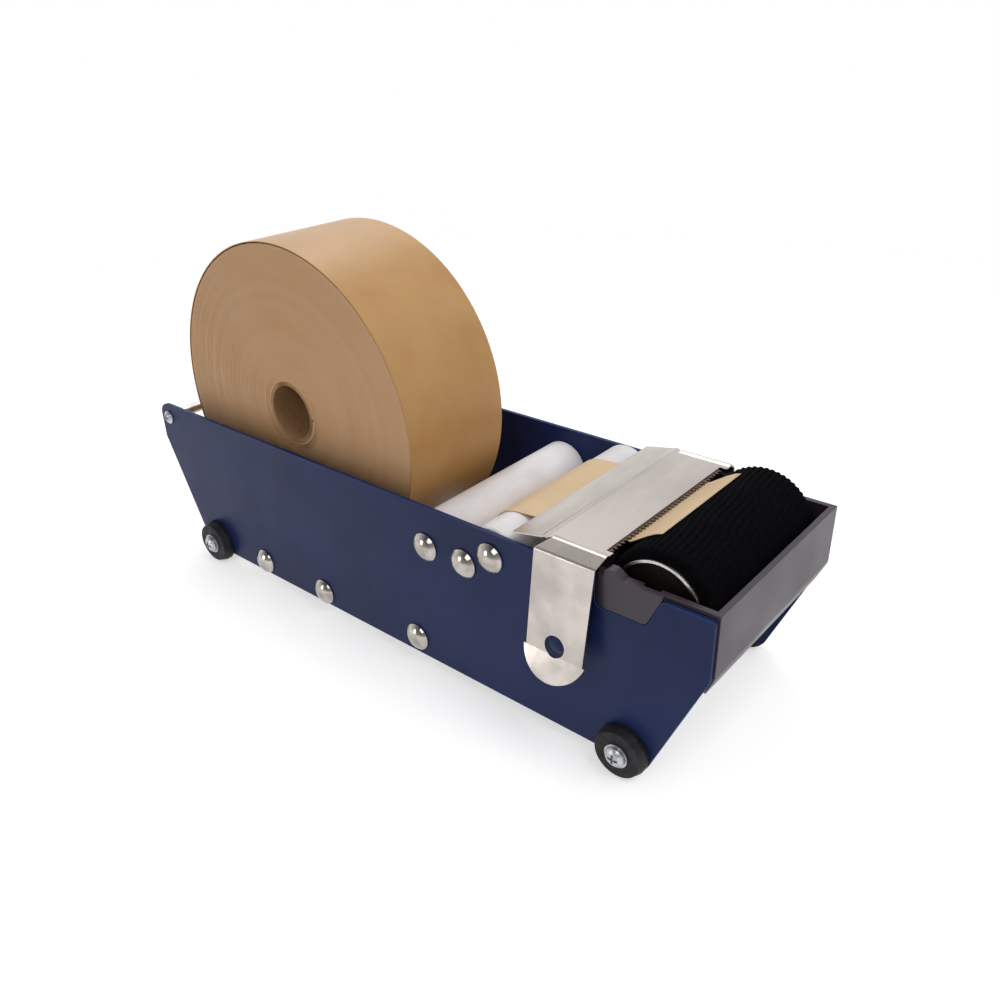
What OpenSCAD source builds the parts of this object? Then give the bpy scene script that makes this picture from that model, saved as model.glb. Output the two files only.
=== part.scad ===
// Counter dispenser for gummed paper tape. Two side plates hold a roll in a roller
// cradle, the guide rollers and a water tank with a wetting drum. A toothed stainless
// cover clips over the plates by two sprung legs.
// X runs from the roll end to the cutting end, Z is up, Y = 0 is the middle plane and
// the feet stand on Z = 0. Side outlines are written as [distance in front of the
// plates' rear edge, height above the plates' bottom edge]; place() moves them to the
// origin below the middle of the machine.

/* [Side plates] */
// Height of a side plate
plate_h = 90.5; // [88:0.5:96]
// Thickness of the plate sheet
plate_t = 2; // [1.5:0.25:2.5]
// Clear width between the plates
inside_w = 113; // [105:1:130]
// Height at which the rear edge turns forwards
rear_slope_h = 67.5; // [55:0.5:75]
// Distance that the rear slope runs forwards
rear_slope_run = 28.5; // [10:0.5:30]
// Distance that the front slope runs backwards
front_slope_run = 26; // [10:1:27]
// Radius of the rear top corner
rear_corner_r = 8; // [3:0.5:10]
// Radius of the small corners of the plates
plate_corner_r = 3; // [1:0.5:4]

/* [Notch for the tank ears] */
// Distance of the notch in front of the tank's rear wall
notch_back = 6.5; // [5:0.25:8]
// Length of the notch floor
notch_floor_l = 25.2; // [22:0.2:27]
// Depth of the notch below the plate's top edge
notch_d = 14.8; // [12:0.2:17]
// Distance that the front side of the notch leans forwards
notch_lean = 6.8; // [3:0.2:9]
// Radius of the notch corners
notch_r = 3; // [1.5:0.25:4]

/* [Feet] */
// Diameter of a rubber foot at the plate
foot_d = 26; // [24:0.5:30]
// Taper of a foot towards its outer face
foot_taper = 1.3; // [0.5:0.1:3]
// Thickness of a foot
foot_t = 6.3; // [5:0.1:9]
// Length of the straight part of a foot
foot_land = 2.5; // [1.5:0.25:4]
// Depth of the flat on which a foot stands
foot_flat = 0.3; // [0.2:0.05:0.6]
// Height of the foot screws above the plate's bottom edge
foot_z = 6.5; // [6:0.1:8]
// Rear foot screw in front of the plate's lower rear corner
foot_rear_in = 12; // [8:0.5:18]
// Front foot screw behind the plate's lower front corner
foot_front_in = 11.6; // [8:0.2:18]
// Diameter of the washer on a foot
foot_washer_d = 12; // [11:0.5:16]
// Thickness of the washer
foot_washer_t = 0.8; // [0.5:0.1:1.2]
// Diameter of the foot screw head
foot_head_d = 10; // [8:0.25:10.5]
// Height of the foot screw head
foot_head_h = 3.2; // [2.4:0.1:4]
// Diameter of the foot screw shank
foot_shank_d = 5; // [4:0.25:5.5]

/* [Tie rods] */
// Diameter of the rods between the feet
foot_rod_d = 9; // [8:0.5:11]
// Diameter of the rear top rod
tie_rod_d = 6; // [5:0.25:8]
// Rear top rod in front of the rear edge
tie_rod_x = 8; // [6:0.5:14]
// Rear top rod below the top edge
tie_rod_drop = 8.5; // [6:0.5:14]
// Diameter of the rear screw head
tie_head_d = 8; // [6:0.25:9]
// Height of the rear screw head
tie_head_h = 2.6; // [1.8:0.1:3.2]
// Diameter of the rear screw shank
tie_shank_d = 3; // [2:0.25:3.5]

/* [Axles and rollers] */
// Diameter of the axles and of the bare rod
axle_d = 6; // [5:0.25:7]
// Diameter of the push-on caps
cap_d = 15.2; // [13:0.2:18]
// Height of the push-on caps
cap_h = 4.1; // [3.6:0.1:5]
// Depth to which an axle enters its cap
cap_bite = 2.2; // [1.5:0.1:2.6]
// Diameter of the cradle rollers
cradle_d = 19.4; // [17:0.2:20]
// Distance between the cradle axles
cradle_pitch = 54; // [46:1:60]
// Height of the cradle axles
cradle_z = 7.6; // [7:0.1:9]
// Distance of the roll in front of the plates' rear edge
roll_rear_space = 20.7; // [16:0.1:30]
// Diameter of the lower guide roller
lower_guide_d = 18; // [16:0.2:19]
// Lower guide axle in front of the front cradle axle
lower_guide_ahead = 74.2; // [66:0.2:80]
// Height of the lower guide axle
lower_guide_z = 9.7; // [9.5:0.1:12]
// Diameter of the two upper rollers
upper_roller_d = 29; // [26:0.5:30]
// Diameter of the bushes' ends in the upper rollers
bush_d = 21; // [14:0.5:22]
// Length of the bushes
bush_l = 8; // [5:0.5:14]
// Top of the upper guide roller above the plates' top edge
upper_guide_rise = 1.4; // [0:0.1:2]
// Top of the retaining roller below the plates' top edge
retaining_drop = 7.9; // [4:0.1:12]
// Gap between the roll and the retaining roller
retaining_clear = 10.92; // [4:0.01:16]
// Gap between the two upper rollers, along the plates
upper_gap = 12.7; // [11:0.1:20]
// Distance from the upper guide roller's top run down to the bare rod
rod_below = 14.65; // [12:0.05:20]
// How far the bare rod bows the tape out of its straight run
rod_press = 0.77; // [0.3:0.01:1.5]
// Gap between the upper guide roller and the tank
tank_behind = 36.9; // [34:0.1:44]
// Chamfer on the ends of the rollers
roller_chamfer = 0.8; // [0.3:0.1:1.5]

/* [Tape] */
// Diameter of the tape roll
roll_d = 185; // [150:1:200]
// Width of the tape
tape_w = 70; // [40:1:90]
// Gap between the loose roll and the right side plate
roll_side_gap = 11.7; // [2:0.1:20]
// Thickness of the tape strip
tape_t = 0.3; // [0.2:0.05:0.4]
// Diameter of the hole in the roll's core
core_d = 30.7; // [25:0.1:40]
// Wall of the core tube
core_wall = 2.2; // [1.5:0.1:3]
// Part of a circle that the loose outer turn covers
outer_turn_deg = 350; // [300:5:355]
// Thickness of the outer turn
outer_turn_t = 0.45; // [0.3:0.05:0.6]
// Gap between the outer turn and a turn below it
outer_turn_gap = 0.45; // [0.42:0.01:0.6]
// Number of ring steps on each side of the roll
ring_n = 7; // [2:1:10]
// Width of a ring step
ring_w = 1.1; // [0.5:0.1:2]
// Depth of a ring step
ring_depth = 0.25; // [0.1:0.05:0.5]
// Angle on the drum at which the tape ends
tape_end_deg = 108; // [95:1:115]
// Radius of the tape's bend below the teeth
tape_bend_r = 3; // [1:0.5:4]

/* [Water tank] */
// Wall of the tank
tank_wall = 2.8; // [2.5:0.1:3.2]
// Height of the rim above the plates' top edge
rim_rise = 2; // [1:0.1:3]
// How far the tank stands out in front of the plates
tank_proud = 0.8; // [0.4:0.1:2]
// Height above the tank's bottom at which its front and the plates slope backwards
tank_slope_h = 14; // [10:0.5:20]
// Radius of the tank's lower rear corner
tank_rear_r = 8; // [5:0.5:9]
// Radius of the tank's lower front corners
tank_front_r = 6; // [4:0.5:7]
// Radius of the tank's lower side corners
tank_side_r = 10; // [6:0.5:14]
// Recess of the ears behind the plates' outer faces
ear_recess = 0.3; // [0.1:0.1:0.6]
// Height of the rounded lug on an ear above the rim
lug_h = 3.2; // [2:0.1:4]
// Length of the lug
lug_l = 11; // [9:0.5:13]
// Diameter of the bearing boss inside the tank
boss_d = 17; // [14:0.5:18]
// Height of the bearing boss off the tank wall
boss_h = 2.3; // [1.5:0.1:2.4]
// Wall left outside the bearing slots
slot_skin = 0.9; // [0.6:0.1:1.5]

/* [Wetting drum] */
// Thickness of the knitted sleeve
sleeve_t = 4.4; // [2:0.1:6]
// Diameter of the steel tube
tube_d = 41.2; // [38:0.2:42]
// Wall of the steel tube
tube_wall = 1.3; // [1:0.1:2]
// Gap between the tube's ends and the bearing bosses
drum_end_gap = 0.5; // [0.3:0.1:4]
// Length of tube left bare at each end
tube_bare = 1.6; // [1:0.1:4]
// Radius of the sleeve's rounded ends
sleeve_round = 3.4; // [1:0.1:5]
// Depth of the end discs inside the tube
disc_recess = 4.5; // [3:0.1:8]
// Thickness of the end discs
disc_t = 3; // [2:0.25:5]
// Diameter of the hub on an end disc
hub_d = 14; // [12:0.5:18]
// Height of the hub
hub_h = 2; // [1:0.25:2.75]
// Diameter of the drum axle
drum_axle_d = 8; // [6:0.25:9]
// Drum axis below the tank's rim
drum_drop = 10.9; // [10:0.1:12]
// Gap between the drum and the tank's front and rear walls
drum_side_gap = 3.7; // [2:0.1:6]
// Depth of water space below the drum
drum_floor_gap = 5.8; // [4:0.1:10]

/* [Cutter cover] */
// Thickness of the stainless sheet
sheet_t = 0.8; // [0.6:0.1:1]
// Height of the cover's top above the plates' top edge
cover_rise = 7.7; // [7.3:0.1:9]
// Tips of the teeth in front of the tank's rear wall
teeth_ahead = 8.1; // [7:0.1:9]
// Length of the flat top between the crease and the front edge
cover_flat_l = 27.8; // [26:0.2:30]
// Length of the sloping rear lip
lip_l = 17.6; // [12:0.2:18]
// Gap between the rear lip and the tape
lip_clear = 0.45; // [0.35:0.05:1]
// Distance of the lip's ends inside the plates' inner faces
lip_in = 0.5; // [0.3:0.1:5]
// Height of the bead along the crease
bead_h = 0.5; // [0.2:0.1:0.8]
// Width of the bead
bead_w = 3.2; // [2.6:0.2:4]
// Radius of the bead's bends
bead_r = 1.6; // [1.2:0.1:1.8]
// Distance of the upper bend inside the plates' outer faces
ridge_in = 3.8; // [3.4:0.1:4.5]
// Radius of the outer faces of the bends above and below a leg
bend_r = 2.2; // [1.4:0.1:2.6]
// Height of the ridge at the upper bend
ridge_h = 0.8; // [0.4:0.1:1.2]
// Width over which the ridge rises
ridge_w = 2.6; // [1.8:0.1:3.4]
// Distance of the lower bend outside the plates' outer faces
bend_out = 2.9; // [2.4:0.1:4]
// Fall from the top of the cover to the lower bend
bend_drop = 3.5; // [3:0.1:4.5]
// Width of a leg
leg_w = 30.5; // [26:0.5:32]
// Front edge of a leg behind the tips of the teeth
leg_back = 1.2; // [1:0.1:2]
// Height of a leg between its bend and its fold
leg_h = 47.1; // [40:0.5:50]
// Outward lean of a leg
leg_splay = 7.26; // [5:0.1:9]
// How far the shoulder reaches in front of a leg
shoulder_front = 2.5; // [1:0.1:2.7]
// How far the shoulder's upper rear corner is set forwards
shoulder_cut = 5.7; // [3:0.1:7]
// Gap between a clip hole's edge and its stud
clip_gap = 0.3; // [0.2:0.05:0.6]
// Height of the clip hole above the fold
clip_hole_up = 4.3; // [0:0.1:8]
// How much wider than the leg the finger tab is, on each side
tab_flare = 1.75; // [1:0.25:4]
// Centre of the tab's arc above the fold
tab_up = 4; // [2:0.25:5]
// Outward lean of the finger tab
tab_splay = 27; // [20:1:40]
// Diameter of the studs behind the legs
stud_d = 10; // [8:0.25:12]
// Rounding of a stud's end
stud_dome = 1.8; // [1:0.1:2.5]

/* [Cutter blade] */
// Thickness of the blade
blade_t = 0.6; // [0.5:0.1:0.8]
// Plain edge between the blade and the cover's ridge
blade_margin = 3.8; // [3:0.1:12]
// Length of the blade below the cover
blade_seat = 8; // [5:0.5:12]
// Spacing of the teeth
tooth_pitch = 2.76; // [2.2:0.02:4]
// Length of a tooth
tooth_h = 2.4; // [1.5:0.1:3]

/* [Clearances] */
// Gap between faces that move past each other
move_gap = 0.3; // [0.25:0.05:0.35]
// Gap round the axles in the rollers
run_gap = 0.08; // [0.04:0.01:0.1]
// Gap between pieces that are fastened together
fit_gap = 0.05; // [0.03:0.01:0.1]
// Gap between a roller's end and a plate
end_gap = 0.4; // [0.3:0.1:1]
// Gap between the tank and the plates
tank_gap = 0.4; // [0.3:0.05:0.5]
// Gap between the tape and the blade
blade_gap = 0.45; // [0.35:0.05:0.6]

/* [Hidden] */
$fn = 96;

navy = "#3a4160";
nickel = "#c9c9c6";
zinc = "#b9bcc0";
rod_brown = "#6b4430";
rubber_black = "#1c1c1e";
roller_white = "#eeeeea";
paper_side = "#c9a06c";
paper_face = "#b3763c";
paper_strip = "#d9c39c";
card_brown = "#a9855a";
tank_black = "#2b2730";
steel = "#a7a7a4";
stainless = "#b7aea2";
knit_black = "#17171a";
disc_brown = "#3a2c24";

// A length by which cutting tools reach past what they cut
past = 1;
// Largest turn between two points of a rounded corner or a tape bend
arc_step = 9;

plate_in = inside_w / 2;
plate_out = plate_in + plate_t;
stand_h = foot_d / 2 - foot_flat - foot_z;
tie_rod_z = plate_h - tie_rod_drop;

// The roll rests in the cradle; the rollers follow it along the plates
cradle_half = cradle_pitch / 2;
cradle_reach = roll_d / 2 + cradle_d / 2 + move_gap;
cradle_x = roll_rear_space + roll_d / 2;
roll_z = cradle_z + sqrt(pow(cradle_reach, 2) - pow(cradle_half, 2));
retaining_z = plate_h - retaining_drop - upper_roller_d / 2;
retaining_reach = roll_d / 2 + upper_roller_d / 2 + retaining_clear;
retaining_x = cradle_x + sqrt(pow(retaining_reach, 2) - pow(roll_z - retaining_z, 2));
cradle_rear = [cradle_x - cradle_half, cradle_z];
cradle_front = [cradle_x + cradle_half, cradle_z];
lower_guide = [cradle_front.x + lower_guide_ahead, lower_guide_z];
retaining = [retaining_x, retaining_z];
upper_guide = [
    retaining_x + upper_roller_d + upper_gap,
    plate_h + upper_guide_rise - upper_roller_d / 2
];
roller_half = plate_in - end_gap;

// Drum, tank and notch
sleeve_d = tube_d + 2 * sleeve_t;
tank_l = sleeve_d + 2 * (drum_side_gap + tank_wall);
tank_rear = upper_guide.x + upper_roller_d / 2 + tank_behind;
tank_front = tank_rear + tank_l;
tank_half = plate_in - tank_gap;
rim_z = plate_h + rim_rise;
drum_x = (tank_rear + tank_front) / 2;
drum_z = rim_z - drum_drop;
tank_bottom = drum_z - sleeve_d / 2 - drum_floor_gap - tank_wall;
slot_depth = tank_wall - slot_skin;
front_slope_h = tank_bottom + tank_slope_h;
tank_lean = front_slope_run / front_slope_h;
overall_l = tank_front;
plate_l = tank_front - tank_proud;
foot_rear_x = rear_slope_run + foot_rear_in;
foot_front_x = plate_l - front_slope_run - foot_front_in;
notch_rear = tank_rear + notch_back;
notch_z = plate_h - notch_d;
notch_front = notch_rear + notch_floor_l;
ear_out = plate_out - ear_recess;

// Cover, blade and legs
teeth_x = tank_rear + teeth_ahead;
cover_front = teeth_x - tooth_h;
crease_x = cover_front - cover_flat_l;
lip_x = crease_x - lip_l;
lip_half = plate_in - lip_in;
cover_z = plate_h + cover_rise;
leg_front = teeth_x - leg_back;
leg_rear = leg_front - leg_w;
leg_x = (leg_front + leg_rear) / 2;
shoulder_x = leg_front + shoulder_front;
ridge_y = plate_out - ridge_in;
bend_y = plate_out + bend_out;
bend_z = cover_z - bend_drop;
fold_y = bend_y + leg_h * tan(leg_splay);
fold_z = bend_z - leg_h;
clip_z = fold_z + clip_hole_up;
clip_y = fold_y - clip_hole_up * tan(leg_splay);
lug_rear = shoulder_x + past;
tab_r = leg_w / 2 + tab_flare;

// The wound roll
turn_pitch = outer_turn_t + outer_turn_gap;
turn_rise = turn_pitch * outer_turn_deg / 360;
winding_r = roll_d / 2 - outer_turn_t - turn_rise - 2 * fit_gap;
core_out = core_d / 2 + core_wall;
// How far the loose roll lies to the right of the middle plane
roll_aside = plate_in - roll_side_gap - tape_w / 2;

function unit(v) = v / norm(v);
function left_of(v) = [-v.y, v.x];

// Arc that replaces corner q between its neighbours p and s
function corner_arc(p, q, s, r) =
    r == 0 ? [q] :
    let (
        u = unit(p - q),
        v = unit(s - q),
        half = acos(u * v) / 2,
        c = q + unit(u + v) * r / sin(half),
        d0 = q + u * r / tan(half) - c,
        d1 = q + v * r / tan(half) - c,
        a0 = atan2(d0.y, d0.x),
        turn = ((atan2(d1.y, d1.x) - a0 + 540) % 360) - 180,
        n = max(2, ceil(abs(turn) / arc_step))
    )
    [for (i = [0:n]) c + r * [cos(a0 + turn * i / n), sin(a0 + turn * i / n)]];

// Closed outline from corners written as [x, z, radius]
function rounded(corners) =
    let (n = len(corners))
    [for (i = [0:n - 1])
        let (p = corners[(i + n - 1) % n], q = corners[i], s = corners[(i + 1) % n])
        each corner_arc([p.x, p.y], [q.x, q.y], [s.x, s.y], q.z)];

// Open line through corners written as [x, z, radius]
function bent(corners) =
    let (last = len(corners) - 1)
    [for (i = [0:last])
        let (p = corners[max(i, 1) - 1], q = corners[i], s = corners[min(i, last - 1) + 1])
        each corner_arc([p.x, p.y], [q.x, q.y], [s.x, s.y], q.z)];

// Point i of an open line moved to its left by d, with mitred bends
function beside(line, i, d) =
    let (
        last = len(line) - 1,
        a = left_of(unit(line[max(i, 1)] - line[max(i, 1) - 1])),
        b = left_of(unit(line[min(i, last - 1) + 1] - line[min(i, last - 1)])),
        m = unit(a + b)
    )
    line[i] + m * d / (m * a);

// Closed outline of a strip whose faces lie d0 and d1 to the left of an open line
function strip(line, d0, d1) = concat(
    [for (i = [0:len(line) - 1]) beside(line, i, d0)],
    [for (i = [len(line) - 1:-1:0]) beside(line, i, d1)]
);

// Half outline [radius, height] of a low dome with a straight edge
function dome(r, h, edge) =
    let (
        rise = h - edge,
        ball = (rise * rise + r * r) / (2 * rise),
        a = asin(r / ball),
        n = 8
    )
    concat([[0, 0], [r, 0]],
        [for (i = [0:n]) let (t = a * (1 - i / n)) [ball * sin(t), h - ball + ball * cos(t)]]);

module place() translate([-overall_l / 2, 0, stand_h]) children();
module at(p) translate([p.x, 0, p.y]) children();
// A side outline between two distances from the middle plane
module slab(y0, y1) translate([0, y1, 0]) rotate([90, 0, 0]) linear_extrude(y1 - y0) children();
// An outline seen from the front, [distance from the middle plane, height], along X
module across(x0, x1) translate([x0, 0, 0]) rotate([90, 0, 90]) linear_extrude(x1 - x0) children();
module bar(d, y0, y1) translate([0, y1, 0]) rotate([90, 0, 0]) cylinder(d = d, h = y1 - y0);
module rod(d, half) bar(d, -half, half);
// A turned shape whose axis points away from the middle plane, starting at y
module turned(y, points) translate([0, y, 0]) rotate([-90, 0, 0]) rotate_extrude() polygon(points);
module right_side() mirror([0, 1, 0]) children();
module both_sides() {
    children();
    right_side() children();
}

// ---- side plates

plate_corners = [
    [0, plate_h, rear_corner_r],
    [0, rear_slope_h, plate_corner_r],
    [rear_slope_run, 0, plate_corner_r],
    [plate_l - front_slope_run, 0, plate_corner_r],
    [plate_l, front_slope_h, plate_corner_r],
    [plate_l, plate_h, plate_corner_r / 2],
    [notch_front + notch_lean, plate_h, plate_corner_r / 2],
    [notch_front, notch_z, notch_r],
    [notch_rear, notch_z, notch_r],
    [notch_rear, plate_h, plate_corner_r / 2]
];

module side_plate() color(navy) place() difference() {
    slab(plate_in, plate_out) polygon(rounded(plate_corners));
    for (p = axle_points)
        at(p) bar(axle_d + 2 * fit_gap, plate_in - past, plate_out + past);
    for (x = [foot_rear_x, foot_front_x])
        at([x, foot_z]) bar(foot_shank_d + 2 * fit_gap, plate_in - past, plate_out + past);
    at([tie_rod_x, tie_rod_z]) bar(tie_shank_d + 2 * fit_gap, plate_in - past, plate_out + past);
}

module left_side_plate() side_plate();
module right_side_plate() right_side() side_plate();

// ---- screws, tie rods and feet

// Pan head screw with a cross recess; its head sits at height y off the middle plane
module screw(head_d, head_h, shank_d, y, reach) {
    difference() {
        turned(y, dome(head_d / 2, head_h, head_h * 0.35));
        for (a = [0, 90])
            translate([0, y + head_h, 0]) rotate([0, a, 0])
                cube([head_d * 0.52, head_h, head_d * 0.11], center = true);
    }
    bar(shank_d, y - reach, y + fit_gap);
}

module hollow_rod(d, shank_d, reach) difference() {
    rod(d, plate_in);
    both_sides() bar(shank_d + 2 * fit_gap, plate_in - reach, plate_in + past);
}

screw_reach = 10;

module rear_tie_rod() color(rod_brown) place() at([tie_rod_x, tie_rod_z])
    hollow_rod(tie_rod_d, tie_shank_d, screw_reach);

module rear_tie_screws() color(zinc) place() both_sides() at([tie_rod_x, tie_rod_z])
    screw(tie_head_d, tie_head_h, tie_shank_d, plate_out, plate_t + screw_reach - past);

module rear_foot_tie_rod() color(zinc) place() at([foot_rear_x, foot_z])
    hollow_rod(foot_rod_d, foot_shank_d, screw_reach);

module front_foot_tie_rod() color(zinc) place() at([foot_front_x, foot_z])
    hollow_rod(foot_rod_d, foot_shank_d, screw_reach);

module foot(x) color(rubber_black) place() difference() {
    at([x, foot_z]) turned(plate_out, [
        [0, 0], [foot_d / 2, 0], [foot_d / 2, foot_land], [foot_d / 2 - foot_taper, foot_t], [0, foot_t]
    ]);
    at([x, foot_z]) bar(foot_shank_d + 2 * fit_gap, plate_out - past, plate_out + foot_t + past);
    translate([x - foot_d / 2, plate_out - past, -stand_h - foot_d])
        cube([foot_d, foot_t + 2 * past, foot_d]);
}

module foot_rear_left() foot(foot_rear_x);
module foot_rear_right() right_side() foot(foot_rear_x);
module foot_front_left() foot(foot_front_x);
module foot_front_right() right_side() foot(foot_front_x);

foot_face = plate_out + foot_t;

module foot_washers() color(zinc) place() both_sides() for (x = [foot_rear_x, foot_front_x])
    at([x, foot_z]) difference() {
        bar(foot_washer_d, foot_face, foot_face + foot_washer_t);
        bar(foot_shank_d + 2 * fit_gap, foot_face - past, foot_face + foot_washer_t + past);
    }

module foot_screws() color(zinc) place() both_sides() for (x = [foot_rear_x, foot_front_x])
    at([x, foot_z]) screw(foot_head_d, foot_head_h, foot_shank_d, foot_face + foot_washer_t,
        foot_washer_t + foot_t + plate_t + screw_reach - past);

// ---- axles, caps and studs

axle_half = plate_out + cap_bite;

module axle(p) color(steel) place() at(p) rod(axle_d, axle_half);
module cradle_axle_rear() axle(cradle_rear);
module cradle_axle_front() axle(cradle_front);
module lower_guide_axle() axle(lower_guide);
module retaining_axle() axle(retaining);
module pinch_rod() axle(pinch);
module upper_guide_axle() axle(upper_guide);

module push_on_caps_left() color(nickel) place() for (p = axle_points)
    at(p) difference() {
        turned(plate_out, dome(cap_d / 2, cap_h, cap_h * 0.2));
        bar(axle_d + 2 * fit_gap, plate_out - past, axle_half + fit_gap);
    }

module push_on_caps_right() right_side() push_on_caps_left();

// The studs stop at the inner face of the legs, which spring over them
stud_l = clip_y - sheet_t / cos(leg_splay) + fit_gap - plate_out;

module clip_studs() color(navy) place() both_sides() at([leg_x, clip_z])
    turned(plate_out, dome(stud_d / 2, stud_l, stud_l - stud_dome));

// ---- rollers

module roller(p, d, bore) place() at(p) difference() {
    turned(-roller_half, [
        [0, 0], [d / 2 - roller_chamfer, 0], [d / 2, roller_chamfer],
        [d / 2, 2 * roller_half - roller_chamfer], [d / 2 - roller_chamfer, 2 * roller_half],
        [0, 2 * roller_half]
    ]);
    rod(bore, roller_half + past);
}

module bushes(p) place() both_sides() at(p) difference() {
    bar(bush_d, roller_half - bush_l, roller_half);
    bar(axle_d + 2 * run_gap, roller_half - bush_l - past, roller_half + past);
}

module cradle_roller_rear() color(zinc) roller(cradle_rear, cradle_d, axle_d + 2 * run_gap);
module cradle_roller_front() color(zinc) roller(cradle_front, cradle_d, axle_d + 2 * run_gap);
module lower_guide_roller() color(zinc) roller(lower_guide, lower_guide_d, axle_d + 2 * run_gap);
module retaining_roller() color(roller_white) roller(retaining, upper_roller_d, bush_d + 2 * fit_gap);
module retaining_roller_bushes() color(roller_white) bushes(retaining);
module upper_guide_roller() color(roller_white) roller(upper_guide, upper_roller_d, bush_d + 2 * fit_gap);
module upper_guide_roller_bushes() color(roller_white) bushes(upper_guide);

// ---- tape roll

ring_step = (winding_r - core_out) / (ring_n + 1);

// Side of the roll from the core outwards, with shallow steps between windings
roll_edge = [for (i = [1:ring_n]) let (r = core_out + i * ring_step, y = tape_w / 2)
    each [[r, y], [r, y - ring_depth], [r + ring_w, y - ring_depth], [r + ring_w, y]]];

module roll_place() place() translate([0, -roll_aside, 0]) at([cradle_x, roll_z]) children();

module tape_roll() color(paper_side) roll_place() turned(0, concat(
    [[core_out + fit_gap, -tape_w / 2], [core_out + fit_gap, tape_w / 2]],
    roll_edge,
    [[winding_r, tape_w / 2], [winding_r, -tape_w / 2]],
    [for (i = [len(roll_edge) - 1:-1:0]) [roll_edge[i].x, -roll_edge[i].y]]
));

// The outer turn starts where the tape leaves the roll, above the front cradle roller
leave_deg = -90 + asin(cradle_half / cradle_reach);
turn_n = ceil(outer_turn_deg / 4);
outer_turn_line = [for (i = [0:turn_n])
    let (a = leave_deg - outer_turn_deg * i / turn_n,
        r = winding_r + 2 * fit_gap + turn_rise * (1 - i / turn_n))
    r * [cos(a), sin(a)]];

// Least distance from one end of the outer turn to the other, and between its own
// layers where it is wound further than a full turn
outer_turn_ends = norm(outer_turn_line[0] - outer_turn_line[turn_n]) - outer_turn_t;
outer_turn_least_gap = outer_turn_deg < 360 ? outer_turn_ends : outer_turn_gap;
echo(outer_turn_least_gap = outer_turn_least_gap);

module tape_outer_turn() color(paper_face) roll_place()
    slab(-tape_w / 2, tape_w / 2) polygon(strip(outer_turn_line, 0, outer_turn_t));

module roll_core() color(card_brown) roll_place() difference() {
    rod(2 * core_out, tape_w / 2);
    rod(core_d, tape_w / 2 + past);
}

// ---- tape strip

// The tape runs round circles written as [x, z, radius]; the radius is negative where
// the tape turns to the right. Its direction between two circles touches them both.
function between(a, b) =
    let (d = [b.x - a.x, b.y - a.y])
    atan2(d.y, d.x) + asin((a.z - b.z) / norm(d));

// Point at which the tape with direction a touches a circle
function touch(c, a) = [c.x, c.y] + c.z * [sin(a), -cos(a)];

tape_off = move_gap + tape_t / 2;
tape_low = cover_z - sheet_t - blade_t - blade_gap - tape_t / 2;
rod_off = axle_d / 2 + tape_off;
lower_circle = [lower_guide.x, lower_guide.y, lower_guide_d / 2 + tape_off];
upper_circle = [upper_guide.x, upper_guide.y, -(upper_roller_d / 2 + tape_off)];

// The bare rod bows the straight run between the lower and the upper guide roller
run_deg = between(lower_circle, upper_circle);
pinch = touch(upper_circle, run_deg)
    - rod_below * [cos(run_deg), sin(run_deg)]
    + (rod_off - rod_press) * [sin(run_deg), -cos(run_deg)];
axle_points = [cradle_rear, cradle_front, lower_guide, retaining, pinch, upper_guide];

tape_circles = [
    [cradle_front.x, cradle_front.y, -(cradle_d / 2 + tape_off)],
    lower_circle,
    [pinch.x, pinch.y, -rod_off],
    upper_circle,
    [teeth_x - past, tape_low + tape_bend_r, tape_bend_r],
    [drum_x, drum_z, -(sleeve_d / 2 + tape_off)]
];
// The strip starts this far past the line from the roller to the middle of the roll
strip_start = 20;

tape_turns = concat(
    [asin(cradle_half / cradle_reach) - strip_start],
    [for (i = [0:len(tape_circles) - 2]) between(tape_circles[i], tape_circles[i + 1])],
    [tape_end_deg - 90]
);

tape_line = [for (i = [0:len(tape_circles) - 1])
    let (
        a0 = tape_turns[i],
        turn = tape_turns[i + 1] - a0,
        n = max(1, ceil(abs(turn) / arc_step))
    )
    for (k = [0:n]) touch(tape_circles[i], a0 + turn * k / n)];

// The cover's rear lip lies just above the tape that runs from the upper guide roller
cover_run_deg = tape_turns[4];
cover_run = touch(upper_circle, cover_run_deg);
lip_z = cover_run.y + (lip_x - cover_run.x) * tan(cover_run_deg) + tape_t / 2 + lip_clear + sheet_t;
lip_drop = cover_z - lip_z;

// Seen from above the tape runs aslant from the roll to the teeth, and straight on there
module tape_strip() color(paper_strip) place() intersection() {
    half = tape_w / 2;
    reach = half + abs(roll_aside);
    slab(-reach, reach) polygon(strip(tape_line, -tape_t / 2, tape_t / 2));
    translate([0, 0, -stand_h]) linear_extrude(stand_h + drum_z + sleeve_d) polygon([
        [cradle_front.x - cradle_d, -roll_aside - half], [teeth_x, -half], [tank_front, -half],
        [tank_front, half], [teeth_x, half], [cradle_front.x - cradle_d, half - roll_aside]
    ]);
}

// ---- water tank

// Side outline of the tank, inset by a wall for its inside
function tank_outline(inset, top) =
    let (
        front = tank_front - inset,
        bottom = tank_bottom + inset,
        hyp = sqrt(1 + tank_lean * tank_lean),
        knee = front_slope_h + inset * (hyp - 1) / tank_lean
    )
    rounded([
        [tank_rear + inset, top, 0],
        [tank_rear + inset, bottom, tank_rear_r - inset],
        [front - tank_lean * (knee - bottom), bottom, tank_front_r - inset],
        [front, knee, tank_front_r - inset],
        [front, top, 0]
    ]);

// Outline of the tank seen from the front
function tank_section(inset, top) =
    let (half = tank_half - inset, bottom = tank_bottom + inset, r = tank_side_r - inset)
    rounded([[-half, top, 0], [-half, bottom, r], [half, bottom, r], [half, top, 0]]);

module tank_body(inset, top) intersection() {
    slab(-tank_half + inset, tank_half - inset) polygon(tank_outline(inset, top));
    across(tank_rear - past, tank_front + past) polygon(tank_section(inset, top));
}

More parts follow.
